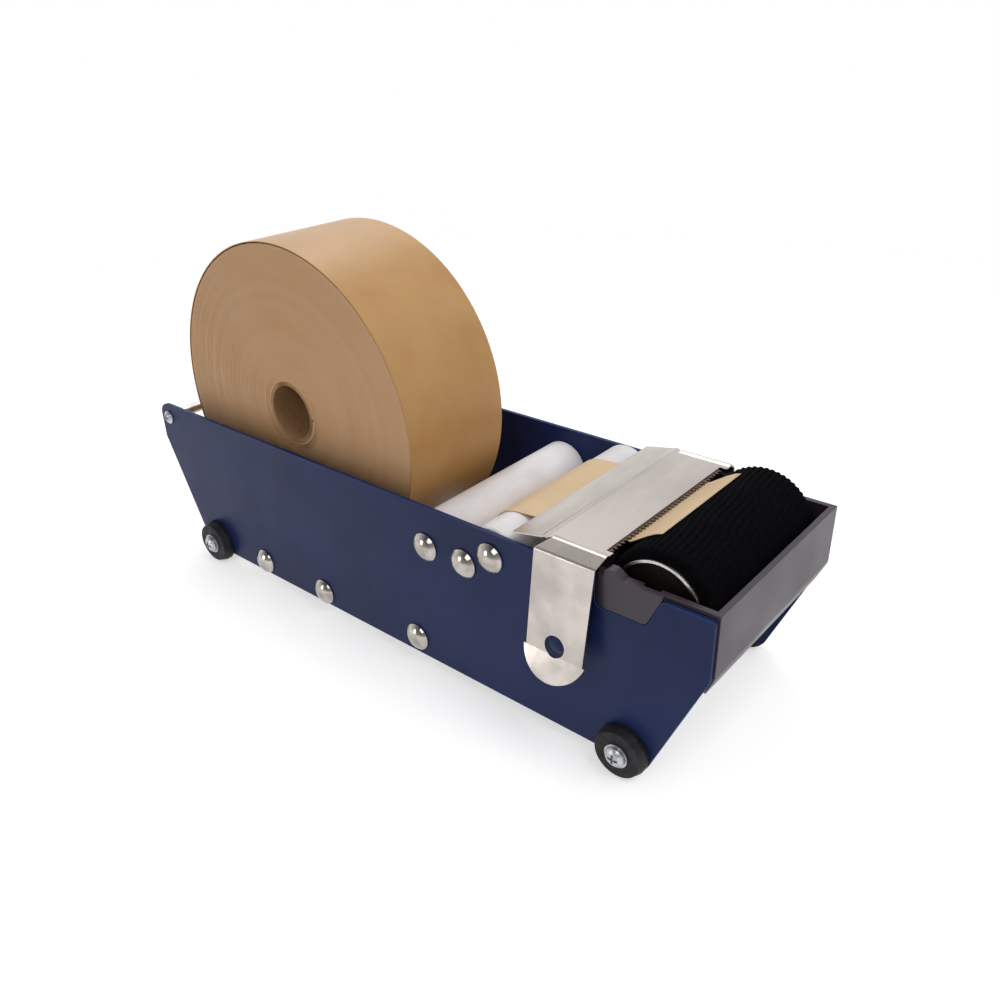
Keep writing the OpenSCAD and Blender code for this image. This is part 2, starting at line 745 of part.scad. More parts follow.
// An ear fills the notch in the plate and carries a rounded lug
module ear() {
    slab(tank_half - past, ear_out) polygon(rounded([
        [notch_rear + tank_gap, rim_z, past],
        [notch_rear + tank_gap, notch_z + fit_gap, notch_r + tank_gap],
        [notch_front - tank_gap, notch_z + fit_gap, notch_r + tank_gap],
        [notch_front + notch_lean * (1 + rim_rise / notch_d) - tank_gap, rim_z, past]
    ]));
    slab(tank_half - tank_wall + fit_gap, ear_out) polygon(rounded([
        [lug_rear, rim_z - past, 0],
        [lug_rear + lug_l, rim_z - past, 0],
        [lug_rear + lug_l * 0.45, rim_z + lug_h, lug_h],
        [lug_rear, rim_z + lug_h, lug_h * 0.7]
    ]));
}

module bearing_slot(d) {
    bar(d, tank_half - tank_wall - boss_h - past, tank_half - tank_wall + slot_depth);
    translate([-d / 2, tank_half - tank_wall - boss_h - past, 0])
        cube([d, boss_h + slot_depth + past, drum_drop + lug_h + past]);
}

module water_tank() color(tank_black) place() difference() {
    union() {
        difference() {
            tank_body(0, rim_z);
            tank_body(tank_wall, rim_z + past);
        }
        both_sides() {
            ear();
            at([drum_x, drum_z]) bar(boss_d, tank_half - tank_wall - boss_h, tank_half - past);
        }
    }
    both_sides() at([drum_x, drum_z]) bearing_slot(drum_axle_d + 2 * run_gap);
}

// ---- wetting drum

tube_half = tank_half - tank_wall - boss_h - drum_end_gap;
disc_y = tube_half - disc_recess;

module drum_axle() color(steel) place() at([drum_x, drum_z])
    rod(drum_axle_d, tank_half - tank_wall + slot_depth - fit_gap);

module drum_tube() color(steel) place() at([drum_x, drum_z]) difference() {
    rod(tube_d, tube_half);
    rod(tube_d - 2 * tube_wall, tube_half + past);
}

module drum_end_discs() color(disc_brown) place() both_sides() at([drum_x, drum_z]) difference() {
    union() {
        bar(tube_d - 2 * tube_wall - 2 * fit_gap, disc_y - disc_t, disc_y);
        bar(hub_d, disc_y - disc_t, disc_y + hub_h);
    }
    bar(drum_axle_d + 2 * run_gap, disc_y - disc_t - past, disc_y + hub_h + past);
}

module knit_sleeve() color(knit_black) place() at([drum_x, drum_z]) turned(0, rounded([
    [tube_d / 2 + fit_gap, -tube_half + tube_bare, 0],
    [sleeve_d / 2, -tube_half + tube_bare, min(sleeve_round, 0.8 * sleeve_t)],
    [sleeve_d / 2, tube_half - tube_bare, min(sleeve_round, 0.8 * sleeve_t)],
    [tube_d / 2 + fit_gap, tube_half - tube_bare, 0]
]));

// ---- cutter cover

// Top face of the cover from the rear lip over the bead to the front edge
cover_line = bent([
    [lip_x, lip_z, 0],
    [crease_x - bead_w / 2, cover_z - lip_drop * bead_w / 2 / lip_l, bead_r],
    [crease_x, cover_z + bead_h, bead_r],
    [crease_x + bead_w / 2, cover_z, bead_r],
    [cover_front, cover_z, 0]
]);
// Outer face of a shoulder, a leg and its finger tab, seen from the front
tab_l = tab_r - tab_up + past;
leg_line = bent([
    [ridge_y - 2 * ridge_w, cover_z, 0],
    [ridge_y - ridge_w, cover_z, 0],
    [ridge_y, cover_z + ridge_h, bend_r],
    [bend_y, bend_z, bend_r],
    [fold_y, fold_z, bend_r],
    [fold_y + tab_l * sin(tab_splay), fold_z - tab_l * cos(tab_splay), 0]
]);
// Side outline of a shoulder and a leg
leg_outline = [
    [leg_rear + shoulder_cut, cover_z + ridge_h + past],
    [shoulder_x, cover_z + ridge_h + past],
    [shoulder_x, cover_z],
    [leg_front + shoulder_front / 2, bend_z],
    [leg_front, fold_z - past],
    [leg_rear, fold_z - past],
    [leg_rear, bend_z],
    [leg_rear + shoulder_cut, cover_z + ridge_h]
];
shoulder_rear = leg_rear + shoulder_cut;

module bent_sheet(x0, x1) across(x0, x1) polygon(strip(leg_line, 0, -sheet_t));

module cover_leg() difference() {
    union() {
        intersection() {
            bent_sheet(leg_rear - past, shoulder_x + past);
            slab(0, fold_y + tab_r) polygon(leg_outline);
        }
        intersection() {
            bent_sheet(leg_x - tab_r, leg_x + tab_r);
            translate([leg_x, fold_y, fold_z]) rotate([tab_splay, 0, 0])
                at([0, tab_up]) bar(2 * tab_r, -tab_r, tab_r);
            translate([leg_x - tab_r, 0, fold_z - 2 * tab_r]) cube([2 * tab_r, fold_y + tab_r, 2 * tab_r]);
        }
    }
    translate([leg_x, clip_y, clip_z]) rotate([leg_splay, 0, 0]) bar(stud_d + 2 * clip_gap, -tab_up, tab_up);
}

module cutter_cover() color(stainless) place() {
    intersection() {
        slab(-lip_half, lip_half) polygon(strip(cover_line, 0, -sheet_t));
        linear_extrude(cover_z + tab_r) polygon([
            [lip_x - past, -lip_half],
            [crease_x + bead_w / 2, -lip_half],
            [shoulder_rear, -ridge_y + ridge_w],
            [cover_front + past, -ridge_y + ridge_w],
            [cover_front + past, ridge_y - ridge_w],
            [shoulder_rear, ridge_y - ridge_w],
            [crease_x + bead_w / 2, lip_half],
            [lip_x - past, lip_half]
        ]);
    }
    both_sides() cover_leg();
}

// ---- cutter blade

tooth_n = floor(2 * (ridge_y - ridge_w - blade_margin) / tooth_pitch);
teeth_w = tooth_n * tooth_pitch;
tooth_points = [for (i = [0:tooth_n - 1]) let (y = -teeth_w / 2 + i * tooth_pitch)
    each [[cover_front, y], [teeth_x, y + tooth_pitch / 2]]];

module cutter_blade() color(stainless) place()
    translate([0, 0, cover_z - sheet_t - blade_t]) linear_extrude(blade_t) polygon(concat(
        [[cover_front - blade_seat, -teeth_w / 2]],
        tooth_points,
        [[cover_front, teeth_w / 2], [cover_front - blade_seat, teeth_w / 2]]
    ));

right_side_plate();
left_side_plate();
rear_tie_rod();
rear_tie_screws();
rear_foot_tie_rod();
front_foot_tie_rod();
foot_rear_right();
foot_rear_left();
foot_front_right();
foot_front_left();
foot_washers();
foot_screws();
cradle_axle_rear();
cradle_axle_front();
lower_guide_axle();
retaining_axle();
pinch_rod();
upper_guide_axle();
push_on_caps_right();
push_on_caps_left();
clip_studs();
water_tank();
drum_axle();
tape_strip();
tape_roll();
tape_outer_turn();
roll_core();
cradle_roller_rear();
cradle_roller_front();
lower_guide_roller();
retaining_roller();
retaining_roller_bushes();
upper_guide_roller();
upper_guide_roller_bushes();
drum_tube();
drum_end_discs();
knit_sleeve();
cutter_cover();
cutter_blade();
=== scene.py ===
"""Studio scene for a counter dispenser for gummed paper tape.

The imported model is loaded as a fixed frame. Each sub-assembly is a class that dresses its
own nodes and builds the pieces that the solids leave plain. Each finish is a frozen
dataclass that makes one procedural material. Lengths in the finishes are in millimetres
and lengths of meshes and lamps in metres, as their names and comments say.
"""
import logging
import math
from dataclasses import dataclass, field
from enum import Enum
from functools import lru_cache
from typing import Any, Mapping, Sequence, Union

import bpy
from mathutils import Matrix, Vector


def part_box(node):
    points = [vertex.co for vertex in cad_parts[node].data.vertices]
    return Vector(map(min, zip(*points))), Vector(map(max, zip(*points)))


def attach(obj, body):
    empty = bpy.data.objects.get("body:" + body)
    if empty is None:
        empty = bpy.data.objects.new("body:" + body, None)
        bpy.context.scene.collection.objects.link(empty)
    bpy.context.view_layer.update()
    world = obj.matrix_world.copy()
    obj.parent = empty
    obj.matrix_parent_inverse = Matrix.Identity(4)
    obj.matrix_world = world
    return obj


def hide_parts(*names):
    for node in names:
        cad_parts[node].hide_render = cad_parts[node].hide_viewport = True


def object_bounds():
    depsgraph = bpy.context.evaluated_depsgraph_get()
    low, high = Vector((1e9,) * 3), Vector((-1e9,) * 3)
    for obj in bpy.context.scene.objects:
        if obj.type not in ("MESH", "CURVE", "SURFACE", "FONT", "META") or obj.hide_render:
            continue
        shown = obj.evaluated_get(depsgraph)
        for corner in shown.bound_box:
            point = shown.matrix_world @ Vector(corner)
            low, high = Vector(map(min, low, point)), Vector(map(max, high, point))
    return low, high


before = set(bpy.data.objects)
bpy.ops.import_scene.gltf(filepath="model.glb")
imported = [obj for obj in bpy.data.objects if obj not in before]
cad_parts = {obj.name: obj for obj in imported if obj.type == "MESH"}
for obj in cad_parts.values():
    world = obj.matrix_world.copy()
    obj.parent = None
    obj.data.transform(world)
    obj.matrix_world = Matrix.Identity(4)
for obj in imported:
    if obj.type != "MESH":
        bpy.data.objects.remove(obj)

CAD_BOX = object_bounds()
MM = 0.001

Colour = tuple[float, float, float, float]
Triple = tuple[float, float, float]
Pair = tuple[float, float]
Socket = bpy.types.NodeSocket
Value = Union[Socket, float, Sequence[float]]

# A pattern that isn't drawn out, the part's origin, and what keeps a point's X and Z alone
EVEN: Triple = (1.0, 1.0, 1.0)
ORIGIN: Triple = (0.0, 0.0, 0.0)
ACROSS_Y: Triple = (1.0, 0.0, 1.0)
# Part of a pattern's range: all of it, and where most of a cloudy one lies
WHOLE: Pair = (0.0, 1.0)
MIDDLE: Pair = (0.35, 0.65)
# Points in each cross-section of the tape
CORNERS = 4

log = logging.getLogger("dispenser")


def linear(hex_colour: str) -> Colour:
    """Turn an sRGB hex colour into a linear one.

    Args:
        hex_colour: Six hex digits after a hash sign.

    Returns:
        Red, green, blue and alpha as Blender's shaders take them.
    """
    parts = [int(hex_colour[i:i + 2], 16) / 255 for i in (1, 3, 5)]
    return (*(c / 12.92 if c <= 0.04045 else ((c + 0.055) / 1.055) ** 2.4 for c in parts), 1.0)


class Axis(Enum):
    """Direction of a grain or of a turned axis, as the stretch of a pattern along it."""

    X = 0
    Y = 1
    Z = 2

    def stretched(self, times: float) -> Triple:
        """Scale of a pattern that is drawn out this many times along the axis."""
        return tuple(times if i == self.value else 1.0 for i in range(3))


class NodeTree:
    """Node tree that grows node by node."""

    # The Mix node's sockets: its share, its two numbers, its two colours and the mixed one
    SHARE, LOW, HIGH = 0, 2, 3
    FIRST, SECOND, MIXED = 6, 7, 2

    def __init__(self, owner: Union[bpy.types.Material, bpy.types.World]) -> None:
        """Start from the nodes that Blender gives.

        Args:
            owner: The material or world whose nodes these are.
        """
        owner.use_nodes = True
        self.nodes = owner.node_tree.nodes
        self.links = owner.node_tree.links

    def add(self, kind: str, inputs: Mapping[Any, Value] = {}, **settings: Any) -> bpy.types.Node:
        """Add a node with its settings and links.

        Args:
            kind: Name of the node's type after "ShaderNode".
            inputs: Values or sockets for its inputs, by their name or place.
            settings: Its other properties.

        Returns:
            The new node.
        """
        node = self.nodes.new("ShaderNode" + kind)
        for name, value in settings.items():
            setattr(node, name, value)
        self.fill(node, inputs)
        return node

    def fill(self, node: bpy.types.Node, inputs: Mapping[Any, Value]) -> None:
        """Set or link inputs of a node.

        Args:
            node: The node.
            inputs: Values or sockets, by the name or place of the input.
        """
        for key, value in inputs.items():
            if isinstance(value, Socket):
                self.links.new(value, node.inputs[key])
            else:
                node.inputs[key].default_value = value

    def spread(self, pattern: Socket, low: float, high: float,
               span: Pair = MIDDLE) -> Socket:
        """Spread the middle of a pattern over a range of values.

        Args:
            pattern: The pattern.
            low: Value at the start of the span.
            high: Value at its end.
            span: Part of the pattern's own range that is used.

        Returns:
            The new value.
        """
        return self.add("MapRange", {
            "Value": pattern, "From Min": span[0], "From Max": span[1],
            "To Min": low, "To Max": high,
        }).outputs[0]


class Recipe(NodeTree):
    """Node tree of one material, which ends in its own Principled shader."""

    # Rays of the Bevel node, and the cosine between its normal and the true one from the
    # middle of an edge to where the edge ends
    BEVEL_RAYS = 6
    EDGE_FACING: Pair = (0.82, 0.985)

    def __init__(self, name: str) -> None:
        """Start a material that has only its shader.

        Args:
            name: Name of the material.
        """
        self.material = bpy.data.materials.new(name)
        super().__init__(self.material)
        self.shader = self.nodes["Principled BSDF"]

    def place(self, stretch: Triple = EVEN, centre: Triple = ORIGIN) -> Socket:
        """Give each point's place on the part in millimetres.

        Args:
            stretch: How far a pattern on these coordinates is drawn out, by axis.
            centre: Point of the part, in metres, that becomes the origin.

        Returns:
            The coordinates.
        """
        scale = [1 / (MM * s) for s in stretch]
        return self.add("Mapping", {
            "Vector": self.add("TexCoord").outputs["Object"],
            "Location": [-c * s for c, s in zip(centre, scale)],
            "Scale": scale,
        }).outputs[0]

    def mottle(self, size: float, stretch: Triple = EVEN, detail: float = 3.0) -> Socket:
        """Draw a cloudy pattern.

        Args:
            size: Size of its blotches in millimetres.
            stretch: How far they are drawn out, by axis.
            detail: Number of finer layers in it.

        Returns:
            A grey value about 0.5.
        """
        return self.add("TexNoise", {
            "Vector": self.place(stretch), "Scale": 1 / size, "Detail": detail,
        }).outputs[0]

    def shade(self, pattern: Socket, dark: Union[str, Socket], light: Union[str, Socket],
              span: Pair = MIDDLE) -> Socket:
        """Colour a pattern from one shade to another.

        Args:
            pattern: The pattern.
            dark: Hex colour or socket at the start of the span.
            light: Hex colour or socket at its end.
            span: Part of the pattern's own range that is used.

        Returns:
            The colour.
        """
        shades = [linear(c) if isinstance(c, str) else c for c in (dark, light)]
        return self.add("Mix", {
            self.SHARE: self.spread(pattern, 0.0, 1.0, span),
            self.FIRST: shades[0], self.SECOND: shades[1],
        }, data_type="RGBA").outputs[self.MIXED]

    def rounded(self, radius: float) -> tuple[Socket, Socket]:
        """Round the edges of a solid in its shading.

        Args:
            radius: Radius of the edges in millimetres.

        Returns:
            The rounded normal, and a mask that is 1 on the edges.
        """
        soft = self.add("Bevel", {"Radius": radius * MM}, samples=self.BEVEL_RAYS).outputs[0]
        true = self.add("NewGeometry").outputs["Normal"]
        facing = self.add("VectorMath", {0: soft, 1: true},
                          operation="DOT_PRODUCT").outputs["Value"]
        return soft, self.spread(facing, 1.0, 0.0, self.EDGE_FACING)

    def radius_about(self, centre: Triple) -> Socket:
        """Measure the distance from an axis along Y.

        Args:
            centre: A point on the axis, in metres.

        Returns:
            The distance in millimetres.
        """
        flat = self.add("VectorMath", {0: self.place(centre=centre), 1: ACROSS_Y},
                        operation="MULTIPLY").outputs[0]
        return self.add("VectorMath", {0: flat}, operation="LENGTH").outputs["Value"]

    def relief(self, height: Socket, depth: float, under: Union[Socket, None] = None) -> Socket:
        """Raise a pattern on the surface.

        Args:
            height: The pattern.
            depth: Its depth in millimetres.
            under: Normal of the surface that it lies on.

        Returns:
            The normal.
        """
        inputs = {"Height": height, "Distance": depth * MM}
        if under is not None:
            inputs["Normal"] = under
        return self.add("Bump", inputs).outputs[0]


@dataclass(frozen=True)
class Finish:
    """A surface finish, named for its material and how it was made."""

    name: str

    def dress(self, recipe: Recipe) -> None:
        """Fill the recipe with this finish's nodes."""
        raise NotImplementedError


@lru_cache(maxsize=None)
def material_of(finish: Finish) -> bpy.types.Material:
    """Make a finish's material once.

    Args:
        finish: The finish.

    Returns:
        Its material.
    """
    recipe = Recipe(finish.name)
    finish.dress(recipe)
    return recipe.material


@dataclass(frozen=True)
class SprayedEnamel(Finish):
    """Navy stoving enamel, sprayed on steel sheet."""

    # A satin coat: one broad soft reflection with a faint orange peel, and a painted
    # highlight in a brighter blue along the edges
    name: str = "navy_enamel_sprayed"
    deep: str = "#1A2650"
    coat: str = "#202E5E"
    # Colour of the painted highlight along the edges
    edge: str = "#3D69B0"
    edge_r: float = 0.45
    cloud: float = 60.0
    gloss: float = 25.0
    peel: float = 1.4
    depth: float = 0.004
    roughness: Pair = (0.3, 0.4)

    def dress(self, recipe: Recipe) -> None:
        """Cloudy coat, orange peel and a painted highlight on the edges."""
        normal, edges = recipe.rounded(self.edge_r)
        coat = recipe.shade(recipe.mottle(self.cloud), self.deep, self.coat)
        recipe.fill(recipe.shader, {
            # Painted highlight: the edge mask mixes the coat towards the brighter blue
            "Base Color": recipe.shade(edges, coat, self.edge, WHOLE),
            "Roughness": recipe.spread(recipe.mottle(self.gloss), *self.roughness),
            "Normal": recipe.relief(recipe.mottle(self.peel, detail=1.0), self.depth, normal),
            "Specular IOR Level": 0.16,
            "IOR": 1.5,
        })


@dataclass(frozen=True)
class BrushedStainless(Finish):
    """Stainless steel sheet with a brushed mill finish."""

    # Grey with a soft grain in one direction, smudged by hands, and bright only where a
    # bend turns towards the lamps
    name: str = "stainless_brushed"
    grain: Axis = Axis.Y
    bright: str = "#C6BEB7"
    smudge: str = "#B2ABA6"
    # Grit lines are about 0.05 mm apart; they are drawn wider so that they show
    grit: float = 0.35
    grit_stretch: float = 60.0
    depth: float = 0.004
    cloud: float = 16.0
    cloud_stretch: float = 2.5
    edge_r: float = 0.25
    roughness: Pair = (0.24, 0.38)

    def dress(self, recipe: Recipe) -> None:
        """Drawn-out grain in the relief, and smudges in the colour and the roughness."""
        normal, _ = recipe.rounded(self.edge_r)
        grain = recipe.mottle(self.grit, self.grain.stretched(self.grit_stretch), detail=4.0)
        clouds = recipe.mottle(self.cloud, self.grain.stretched(self.cloud_stretch))
        recipe.fill(recipe.shader, {
            "Base Color": recipe.shade(clouds, self.smudge, self.bright),
            "Metallic": 1.0,
            "Roughness": recipe.spread(clouds, self.roughness[1], self.roughness[0]),
            "Normal": recipe.relief(grain, self.depth, normal),
        })


@dataclass(frozen=True)
class SmoothSteel(Finish):
    """Smooth steel: nickel or zinc plated, drawn bright, or tempered."""

    # A little uneven; the shade and the roughness tell the kinds apart
    bright: str
    dull: str
    roughness: Pair
    blotch: float = 6.0
    pit: float = 0.5
    depth: float = 0.003
    edge_r: float = 0.3

    def dress(self, recipe: Recipe) -> None:
        """Blotches of tarnish, fine pits and rounded edges."""
        normal, _ = recipe.rounded(self.edge_r)
        blotches = recipe.mottle(self.blotch)
        recipe.fill(recipe.shader, {
            "Base Color": recipe.shade(blotches, self.dull, self.bright),
            "Metallic": 1.0,
            "Roughness": recipe.spread(blotches, self.roughness[1], self.roughness[0]),
            "Normal": recipe.relief(recipe.mottle(self.pit, detail=1.0), self.depth, normal),
        })


@dataclass(frozen=True)
class TurnedPlastic(Finish):
    """White acetal, turned to size."""

    # Waxy white with faint rings from the tool
    name: str = "acetal_white_turned"
    body: str = "#F2EFF2"
    soiled: str = "#E4DFE0"
    # Tool marks are 0.1 mm apart; they are drawn at 0.8 mm so that they show
    ring: float = 0.8
    ring_stretch: Triple = (40.0, 1.0, 40.0)
    depth: float = 0.01
    dust: float = 14.0
    dust_stretch: float = 2.0
    edge_r: float = 0.4
    roughness: Pair = (0.38, 0.5)

    def dress(self, recipe: Recipe) -> None:
        """Rings across the axis and a little paper dust."""
        normal, _ = recipe.rounded(self.edge_r)
        rings = recipe.mottle(self.ring, self.ring_stretch, detail=1.0)
        dust = recipe.mottle(self.dust, Axis.Y.stretched(self.dust_stretch))
        recipe.fill(recipe.shader, {
            "Base Color": recipe.shade(dust, self.soiled, self.body),
            "Roughness": recipe.spread(dust, self.roughness[1], self.roughness[0]),
            "Normal": recipe.relief(rings, self.depth, normal),
            "IOR": 1.48,
        })


@dataclass(frozen=True)
class MouldedPlastic(Finish):
    """Moulded plastic with a fine spark-eroded grain."""

    # A dark shell whose fine grain spreads the reflection, and painted highlights on its edges
    shell: str = "#2F2330"
    # Paler colour: the pale end of the random clouds, and the painted highlight on the edges
    paler_and_edge_highlight: str = "#3E323E"
    roughness: Pair = (0.36, 0.46)
    edge_r: float = 0.5
    specular: float = 0.46
    cloud: float = 30.0
    cloud_span: Pair = (0.3, 0.9)
    grain: float = 0.5
    depth: float = 0.006

    def dress(self, recipe: Recipe) -> None:
        """Grain, painted highlights on the edges and slow changes of gloss."""
        normal, edges = recipe.rounded(self.edge_r)
        clouds = recipe.mottle(self.cloud)
        shell = recipe.shade(clouds, self.shell, self.paler_and_edge_highlight, self.cloud_span)
        recipe.fill(recipe.shader, {
            # Painted highlight: the edges are mixed towards the paler colour
            "Base Color": recipe.shade(edges, shell, self.paler_and_edge_highlight, WHOLE),
            "Roughness": recipe.spread(clouds, *self.roughness),
            "Specular IOR Level": self.specular,
            "Normal": recipe.relief(recipe.mottle(self.grain, detail=2.0), self.depth, normal),
            "IOR": 1.52,
        })


@dataclass(frozen=True)
class MouldedRubber(Finish):
    """Black rubber, pressed in a mould."""

    # Dull and slightly dusty, with a painted highlight that makes the edges greyer
    name: str = "rubber_black_moulded"
    body: str = "#121214"
    dust: str = "#222225"
    # Grey of the painted highlight on the edges
    paler_and_edge_highlight: str = "#343438"
    edge_r: float = 0.6
    dust_size: float = 5.0
    gloss: float = 3.0
    pore: float = 0.4
    depth: float = 0.02
    roughness: Pair = (0.5, 0.7)

    def dress(self, recipe: Recipe) -> None:
        """Dusty body with painted highlights on the edges and fine pores."""
        normal, edges = recipe.rounded(self.edge_r)
        body = recipe.shade(recipe.mottle(self.dust_size), self.body, self.dust)
        recipe.fill(recipe.shader, {
            # Painted highlight: the edges are mixed towards the paler grey
            "Base Color": recipe.shade(edges, body, self.paler_and_edge_highlight, WHOLE),
            "Roughness": recipe.spread(recipe.mottle(self.gloss), *self.roughness),
            "Specular IOR Level": 0.3,
            "Normal": recipe.relief(recipe.mottle(self.pore), self.depth, normal),
            "IOR": 1.52,
        })


@dataclass(frozen=True)
class WoundPaperEdge(Finish):
    """Edges of kraft paper tape, wound tight and slit flat."""

    # Rings of slightly different browns; the cut edges shine in fans as a disc of fine
    # grooves does
    name: str = "kraft_paper_wound_edge"
    centre: Triple = ORIGIN
    pale: str = "#D9B088"
    dark: str = "#CF9C68"
    # Shades of the tape change from winding to winding; they are drawn in bands so that
    # they show
    band: float = 0.7
    broad_band: float = 9.0
    fine_span: Pair = (0.4, 0.9)
    broad_span: Pair = (0.1, 0.9)
    cloud: float = 26.0
    fibre: float = 0.8
    depth: float = 0.02

    def dress(self, recipe: Recipe) -> None:
        """Rings by radius, broad bands and a fan of sheen."""
        radius = recipe.radius_about(self.centre)
        fine, broad = (
            recipe.add("TexNoise", {"W": radius, "Scale": 1 / size, "Detail": 1.0},
                       noise_dimensions="1D").outputs[0]
            for size in (self.band, self.broad_band))
        bands = recipe.shade(broad, self.dark, self.pale, self.broad_span)
        clouds = recipe.shade(recipe.mottle(self.cloud), self.dark, self.pale)
        recipe.fill(recipe.shader, {
            "Base Color": recipe.shade(fine, bands, clouds, self.fine_span),
            "Roughness": 0.5,
            "Anisotropic": 0.8,
            "Tangent": recipe.add("Tangent", direction_type="RADIAL", axis="Y").outputs[0],
            "Normal": recipe.relief(recipe.mottle(self.fibre), self.depth),
            "IOR": 1.5,
        })


@dataclass(frozen=True)
class KraftPaper(Finish):
    """Kraft paper, machine made with its fibres along the web."""

    # Brown paper with fine fibres; a dried gum coat adds a gloss and a warmer brown
    pale: str = "#E2C6A0"
    dark: str = "#DABC93"
    fleck: str = "#C29C6C"
    roughness: float = 0.62
    gum: float = 0.0
    # Fibres are 0.03 mm wide; they are drawn wider so that they show
    fibre: float = 0.5
    fibre_stretch: float = 0.4
    fleck_span: Pair = (0.6, 0.95)
    cloud: float = 30.0
    depth: float = 0.012

    def dress(self, recipe: Recipe) -> None:
        """Cloudy formation, flecks of fibre and the gum's gloss."""
        cloud = recipe.shade(recipe.mottle(self.cloud), self.dark, self.pale)
        fibres = recipe.mottle(self.fibre, Axis.Y.stretched(self.fibre_stretch), detail=4.0)
        recipe.fill(recipe.shader, {
            "Base Color": recipe.shade(fibres, cloud, self.fleck, self.fleck_span),
            "Roughness": self.roughness,
            "Coat Weight": self.gum,
            "Coat Roughness": 0.32,
            "Normal": recipe.relief(fibres, self.depth),
            "IOR": 1.48,
        })


@dataclass(frozen=True)
class SpiralBoard(Finish):
    """Grey-brown board, wound in a spiral into a tube."""

    # Dull board with the seams of its plies
    name: str = "board_spiral_wound"
    pale: str = "#B28A61"
    dark: str = "#8A6646"
    ply: float = 22.0
    # The wave pattern's own period at a scale of 1
    wave: float = 0.3
    seam_span: Pair = (0.0, 0.35)
    stain: float = 1.5
    stain_span: Pair = (0.5, 0.9)
    fibre: float = 0.6
    depth: float = 0.05

    def dress(self, recipe: Recipe) -> None:
        """Slanted plies and fibres."""
        seam = recipe.add("TexWave", {
            "Vector": recipe.place(), "Scale": self.wave / self.ply,
            "Distortion": 1.5, "Detail": 1.0,
        }, bands_direction="DIAGONAL").outputs[1]
        plies = recipe.shade(seam, self.dark, self.pale, self.seam_span)
        recipe.fill(recipe.shader, {
            "Base Color": recipe.shade(recipe.mottle(self.stain), plies, self.dark,
                                       self.stain_span),
            "Roughness": 0.8,
            "Normal": recipe.relief(recipe.mottle(self.fibre), self.depth),
            "IOR": 1.45,
        })


@dataclass(frozen=True)
class RibKnit(Finish):
    """Black cotton, knitted in ribs."""

    # Nearly black, with a soft bloom of fibres on the ribs and small loops along them
    name: str = "cotton_rib_knit"
    yarn: str = "#040406"
    bloom: str = "#101014"
    loop: float = 1.2
    lint: float = 3.0
    depth: float = 0.18
    loop_span: Pair = (0.1, 0.7)
    lint_span: Pair = (0.4, 0.8)
    relief_span: Pair = (0.0, 0.8)

    def dress(self, recipe: Recipe) -> None:
        """Loops of yarn along the ribs, seen by their relief and bloom."""
        web = recipe.add("Mapping", {
            "Vector": recipe.add("UVMap", uv_map="cloth_mm").outputs[0],
            "Scale": (1 / self.loop, 1 / self.loop, 1.0),
        }).outputs[0]
        loops = recipe.add("TexVoronoi", {"Vector": web, "Scale": 1.0, "Randomness": 0.35},
                           distance="EUCLIDEAN").outputs["Distance"]
        lint = recipe.mottle(self.lint)
        yarn = recipe.shade(loops, self.bloom, self.yarn, self.loop_span)
        recipe.fill(recipe.shader, {
            "Base Color": recipe.shade(lint, yarn, self.yarn, self.lint_span),
            "Roughness": 0.9,
            "Specular IOR Level": 0.03,
            "Sheen Weight": 0.008,
            "Sheen Roughness": 0.5,
            "Normal": recipe.relief(recipe.spread(loops, 1.0, 0.0, self.relief_span), self.depth),
            "IOR": 1.45,
        })


ENAMEL = SprayedEnamel()
STAINLESS = BrushedStainless()
NICKEL = SmoothSteel("steel_nickel_plated", "#C4BEB7", "#A29C95", (0.08, 0.16))
ZINC = SmoothSteel("steel_zinc_plated", "#C9CBCF", "#9FA1A6", (0.28, 0.4), blotch=3.0)
# Dark brown of the blade: a painted reflection of the dark drum and the tape strip
TEMPERED_STEEL_PAINTED_REFLECTION = SmoothSteel("steel_tempered_painted_dark_reflection", "#7A6A60", "#54463E", (0.25, 0.4), blotch=2.0)
DRAWN_STEEL = SmoothSteel("steel_drawn_bright", "#CFCDCB", "#A9A6A3", (0.2, 0.32), blotch=8.0)
ACETAL = TurnedPlastic()
TANK_PLASTIC = MouldedPlastic("abs_black_moulded")
DISC_PLASTIC = MouldedPlastic("phenolic_brown_moulded", "#18120E", "#241B15", (0.5, 0.6),
                              edge_r=0.3, specular=0.2)
RUBBER = MouldedRubber()
GUMMED_PAPER = KraftPaper("kraft_paper_gummed_side", "#C69657", "#BD8B4B", "#986B36",
                          roughness=0.5, gum=0.5)
PLAIN_PAPER = KraftPaper("kraft_paper_plain_side")
BOARD = SpiralBoard()
KNIT = RibKnit()


@dataclass
class Assembly:
    """A group of pieces that are made and dressed together."""

    def build(self) -> Sequence[str]:
        """Make and dress the pieces, and name them."""
        raise NotImplementedError

    def wear(self, finish: Finish, *nodes: str) -> Sequence[str]:
        """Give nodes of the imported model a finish.

        Args:
            finish: The finish.
            nodes: Names of the nodes.

        Returns:
            The same names.
        """
        for node in nodes:
            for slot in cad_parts[node].material_slots:
                slot.material = material_of(finish)
        return nodes


@dataclass
class SideFrame(Assembly):
    """The two navy side plates with their studs and the rods that tie them."""

    def build(self) -> Sequence[str]:
        """Dress the plates, studs and rods, and name them."""
        return [
            *self.wear(ENAMEL, "right_side_plate", "left_side_plate", "clip_studs"),
            *self.wear(DRAWN_STEEL, "rear_tie_rod"),
            *self.wear(ZINC, "rear_tie_screws", "rear_foot_tie_rod", "front_foot_tie_rod"),
        ]


@dataclass
class Feet(Assembly):
    """Four round rubber feet with their washers and screws."""

    def build(self) -> Sequence[str]:
        """Dress the feet and their screws, and name them."""
        ends = ("rear_right", "rear_left", "front_right", "front_left")
        return [
            *self.wear(RUBBER, *(f"foot_{end}" for end in ends)),
            *self.wear(ZINC, "foot_washers", "foot_screws"),
        ]


